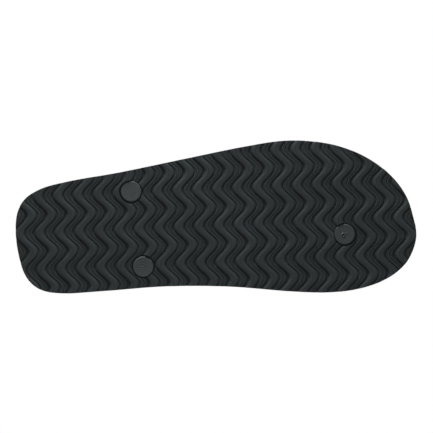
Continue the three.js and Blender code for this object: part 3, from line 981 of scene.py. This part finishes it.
def textured_footbed():
    """The footbed's pressed texture: fine diamonds over its whole top, and a soft cloudiness."""
    dark, light = (0.013, 0.015, 0.0155), (0.032, 0.036, 0.037)
    finish = Finish("textured footbed", dark, 0.8, specular=0.25)
    place = finish.place()
    x, y, z = finish.parts(place)
    pitch = 2 * math.pi / 0.0024
    one = ((x + y) * pitch).sine()
    other = ((x - y) * pitch).sine()
    diamonds = (one * other).step(-0.5, 0.7)
    top = z.step(FOOTBED_TOP * MM - 0.0006, FOOTBED_TOP * MM - 0.0001)
    cloud = finish.noise(place, 30, 3, 0.5)
    grain = finish.noise(place, 1800, 2, 0.6)
    finish.shades(diamonds * top * 0.35 + cloud * 0.35 + grain * 0.2, dark, light)
    finish.roughness(0.84 - diamonds * top * 0.1)
    finish.bump(diamonds * top + grain * 0.3, 0.00022, 0.9)
    return finish.material


def plug_plastic(name, shade):
    """A plug's moulded satin plastic, finely spark-textured. Its shade is a share of full brightness: painted
    light and shade, so that the plugs are lighter and darker copies of one plastic.
    """
    finish = Finish(name, (0.042 * shade, 0.047 * shade, 0.05 * shade), 0.5, specular=0.35)
    place = finish.place()
    grain = finish.noise(place, 1100, 3, 0.65)
    patches = finish.noise(place, 160, 3, 0.5)
    dark = [value * shade for value in (0.018, 0.0225, 0.0245)]
    light = [value * shade for value in (0.05, 0.0595, 0.063)]
    finish.shades(grain * 0.5 + patches * 0.45, dark, light)
    finish.roughness(0.46 + grain * 0.16)
    finish.bump(grain, 0.00012, 0.8)
    return finish.material


def strap_leather():
    """The upper's coated fabric: pebbled grain in two sizes, satin, paler on the tops of the grain."""
    dark, light = (0.008, 0.0085, 0.009), (0.026, 0.027, 0.028)
    finish = Finish("strap upper", dark, 0.6, specular=0.15)
    place = finish.place()
    pebbles = finish.cells(place, 780).step(0.0, 0.62, 1.0, 0.0)
    creases = finish.noise(place, 330, 4, 0.6)
    finish.shades(pebbles * 0.3 + creases * 0.4, dark, light)
    finish.roughness(0.76 - pebbles * 0.08 + creases * 0.08)
    finish.bump(pebbles * 0.7 + creases * 0.5, 0.0001, 0.8)
    return finish.material


def strap_knit():
    """The lining's knit: small loops in rows, with a soft sheen."""
    dark, light = (0.012, 0.0125, 0.013), (0.045, 0.047, 0.049)
    finish = Finish("strap lining", dark, 0.92, specular=0.15, sheen=0.25)
    along, across, _ = finish.parts(finish.unwrapped())
    rows = (along * (2 * math.pi / 1.1)).sine()
    loops = (across * (2 * math.pi / 0.8) + rows * 0.9).sine()
    knit = (rows * loops).step(-0.7, 0.7)
    fuzz = finish.noise(finish.place(), 2600, 2, 0.6)
    finish.shades(knit * 0.6 + fuzz * 0.3, dark, light)
    finish.bump(knit + fuzz * 0.4, 0.00025, 0.8)
    return finish.material


def open_foam():
    """The padding's open foam. It lies inside the upper and the lining."""
    finish = Finish("padding foam", (0.03, 0.031, 0.032), 0.95, specular=0.1)
    cells = finish.cells(finish.place(), 1400)
    finish.shades(cells, (0.02, 0.021, 0.022), (0.06, 0.062, 0.064))
    finish.bump(cells, 0.0003, 0.7)
    return finish.material


def woven_tape():
    """Webbing: a herringbone of fine ribs that lean one way and then the other across the tape."""
    dark, light = (0.007, 0.0075, 0.008), (0.034, 0.036, 0.038)
    finish = Finish("webbing", dark, 0.75, specular=0.25, sheen=0.15)
    along, across, _ = finish.parts(finish.unwrapped())
    lean = abs((across * (math.pi / 2.0)).sine()) * 1.1
    ribs = ((along + lean) * (2 * math.pi / 0.95)).sine().step(-0.6, 0.8)
    threads = (across * (2 * math.pi / 0.42)).sine().step(-0.8, 0.8)
    finish.shades(ribs * 0.6 + threads * 0.25, dark, light)
    finish.bump(ribs * 0.8 + threads * 0.3, 0.0002, 0.9)
    return finish.material


def sewing_thread():
    """The stitching: bonded thread, a shade paler than the strap, with its twist."""
    finish = Finish("sewing thread", (0.05, 0.052, 0.054), 0.65, specular=0.2, sheen=0.2)
    twist = finish.noise(finish.place(), 2400, 2, 0.6)
    finish.shades(twist, (0.028, 0.03, 0.031), (0.085, 0.088, 0.091))
    finish.bump(twist, 0.00008, 0.6)
    return finish.material


# ---- Putting it together ---------------------------------


def dress(piece, material, slot, body, *nodes):
    """Gives a piece its material, the body it moves with and the solids it stands for. Its finish slot is not
    used.
    """
    piece.data.materials.clear()
    piece.data.materials.append(material)
    if nodes:
        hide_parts(*nodes)
    if body:
        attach(piece, body)


def bend_between_ends(piece, route):
    """Bakes a piece of an arm into place. It works out for each point a share that rises from 0 at the arm's
    low end and falls back to 0 at the saddle, by where the point lies along the straight line between them;
    nothing uses the share, so the piece does not flop.
    """
    low, high = route.at([route.start])[0], route.at([route.end])[0]
    tuple(low * MM)
    tuple(high * MM)
    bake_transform(piece)
    points = np.zeros(len(piece.data.vertices) * 3)
    piece.data.vertices.foreach_get("co", points)
    line = high - low
    along = (points.reshape(-1, 3) / MM - low) @ line / (line @ line)
    share = smoothstep(along, 0.02, 0.36) * (1 - smoothstep(along, 0.62, 0.97))


def build_sole():
    dress(tread_outsole(), tread_rubber(), "outsole_foam", "sole", "outsole")
    foam = cut_foam("midsole foam", (0.011, 0.0125, 0.013), (0.03, 0.033, 0.034))
    dress(foam_midsole(), foam, "midsole_foam", "sole", "midsole")
    dress(foam_footbed(), textured_footbed(), "footbed_foam", "sole", "footbed")


def build_plugs():
    # The last number is each plug's brightness: painted light and shade on copies of one plastic.
    faces = (
        ("toe", TOE_HOLE, gate_mark, 0.82),
        ("medial", MEDIAL_HOLE, turning_arcs, 0.92),
        ("lateral", LATERAL_HOLE, None, 1.0),
    )
    for side, hole, relief, shade in faces:
        piece = strap_plug(f"{side}_plug_moulding", hole, relief)
        plastic = plug_plastic(f"{side} plug plastic", shade)
        dress(piece, plastic, "plug_plastic", f"{side}_button", f"{side}_plug")


def build_strap():
    leather, knit, foam = strap_leather(), strap_knit(), open_foam()
    tape, thread = woven_tape(), sewing_thread()
    for side, route in STRAP_SIDES:
        skins = (
            (arm_upper(f"{side}_strap_upper", route), leather, "strap_upper", f"{side}_arm_upper"),
            (arm_padding(f"{side}_strap_padding", route), foam, "strap_padding", f"{side}_arm_padding"),
            (arm_lining(f"{side}_strap_lining", route), knit, "strap_lining", f"{side}_arm_lining"),
        )
        for piece, material, slot, node in skins:
            dress(piece, material, slot, None, node)
            bend_between_ends(piece, route)
        rows = arm_stitching(f"{side}_strap_stitching", route)
        dress(rows, thread, "webbing", None)
        bend_between_ends(rows, route)
        dress(strap_tape(f"{side}_webbing_tape", route), tape, "webbing", "sole", f"{side}_tape")
    dress(saddle_cap("saddle_cap"), leather, "strap_upper", "sole", "saddle_upper")
    dress(saddle_underside("saddle_underside"), knit, "strap_lining", "sole", "saddle_lining")
    dress(saddle_stitching("saddle_stitching"), thread, "webbing", "sole")
    dress(toe_post("toe_post_webbing"), tape, "webbing", "sole", "toe_post")


# ---- Floor, light and camera -----------------------------

CAMERA_DISTANCE = 1.5
SENSOR = 36.0
LENGTH_IN_VIEW = 0.9245  # the share of the picture's side that the sole's length takes
ROLL = math.radians(2.5)
OFF_CENTRE = (-0.78, -2.85)  # the sole's middle from the picture's, right and up, in millimetres
FLOOR_DROP = 0.0006
SKY_GLOW = 0.28  # strength of the world's light, which the camera itself sees at 1


def build_floor():
    """A pale floor just under the tread. It takes shadows but holds no light back from the sole."""
    bpy.ops.mesh.primitive_plane_add(size=6, location=(0, 0, -FLOOR_DROP))
    floor = bpy.context.object
    floor.name = "floor"
    finish = Finish("pale floor", (0.78, 0.78, 0.78), 0.9, specular=0.1)
    floor.data.materials.append(finish.material)
    floor.visible_shadow = False
    floor.visible_diffuse = False
    floor.visible_glossy = False
    floor.visible_transmission = False


def area_light(name, place, target, size, power):
    data = bpy.data.lights.new(name, "AREA")
    data.shape = "RECTANGLE"
    data.size, data.size_y = size
    data.energy = power
    light = bpy.data.objects.new(name, data)
    light.location = place
    light.rotation_euler = (Vector(target) - Vector(place)).to_track_quat("-Z", "Y").to_euler()
    bpy.context.scene.collection.objects.link(light)


def build_lights():
    world = bpy.data.worlds.new("studio")
    bpy.context.scene.world = world
    world.use_nodes = True
    tree = world.node_tree
    back = tree.nodes["Background"]
    back.inputs["Color"].default_value = (1, 1, 1, 1)
    path = tree.nodes.new("ShaderNodeLightPath")
    strength = tree.nodes.new("ShaderNodeMapRange")
    strength.inputs["To Min"].default_value = SKY_GLOW
    strength.inputs["To Max"].default_value = 1.0
    tree.links.new(path.outputs["Is Camera Ray"], strength.inputs["Value"])
    tree.links.new(strength.outputs["Result"], back.inputs["Strength"])
    area_light("front under the sole", (0.3, 0.1, -1.4), (0, 0, 0), (1.0, 1.0), 2.9)
    area_light("low from the outer side", (-0.68, 0.1, -0.15), (0, 0, 0), (0.16, 0.08), 11)
    area_light("high soft", (0.5, -0.7, 1.4), (0, 0, 0), (1.2, 1.2), 22)
    area_light("high back", (-0.8, 0.6, 1.0), (0, 0, 0.03), (0.8, 0.5), 12)


def build_camera():
    """Straight below the sole, looking up: the toes to the right, the outer side up, with a small roll."""
    data = bpy.data.cameras.new("camera")
    width_in_view = SOLE_LENGTH / LENGTH_IN_VIEW * MM
    data.sensor_width = SENSOR
    data.lens = SENSOR * CAMERA_DISTANCE / width_in_view
    right = Vector((math.sin(ROLL), -math.cos(ROLL), 0))
    up = Vector((-math.cos(ROLL), -math.sin(ROLL), 0))
    camera = bpy.data.objects.new("camera", data)
    place = -OFF_CENTRE[0] * MM * right - OFF_CENTRE[1] * MM * up
    place.z = -CAMERA_DISTANCE
    turned = Matrix((right, up, (0, 0, -1))).transposed().to_4x4()
    camera.matrix_world = Matrix.Translation(place) @ turned
    data.clip_start = CAMERA_DISTANCE - FLOOR_DROP / 2
    bpy.context.scene.collection.objects.link(camera)
    bpy.context.scene.camera = camera


build_camera()
build_lights()
build_floor()
build_sole()
build_plugs()
build_strap()

bpy.context.scene.view_settings.view_transform = "Standard"
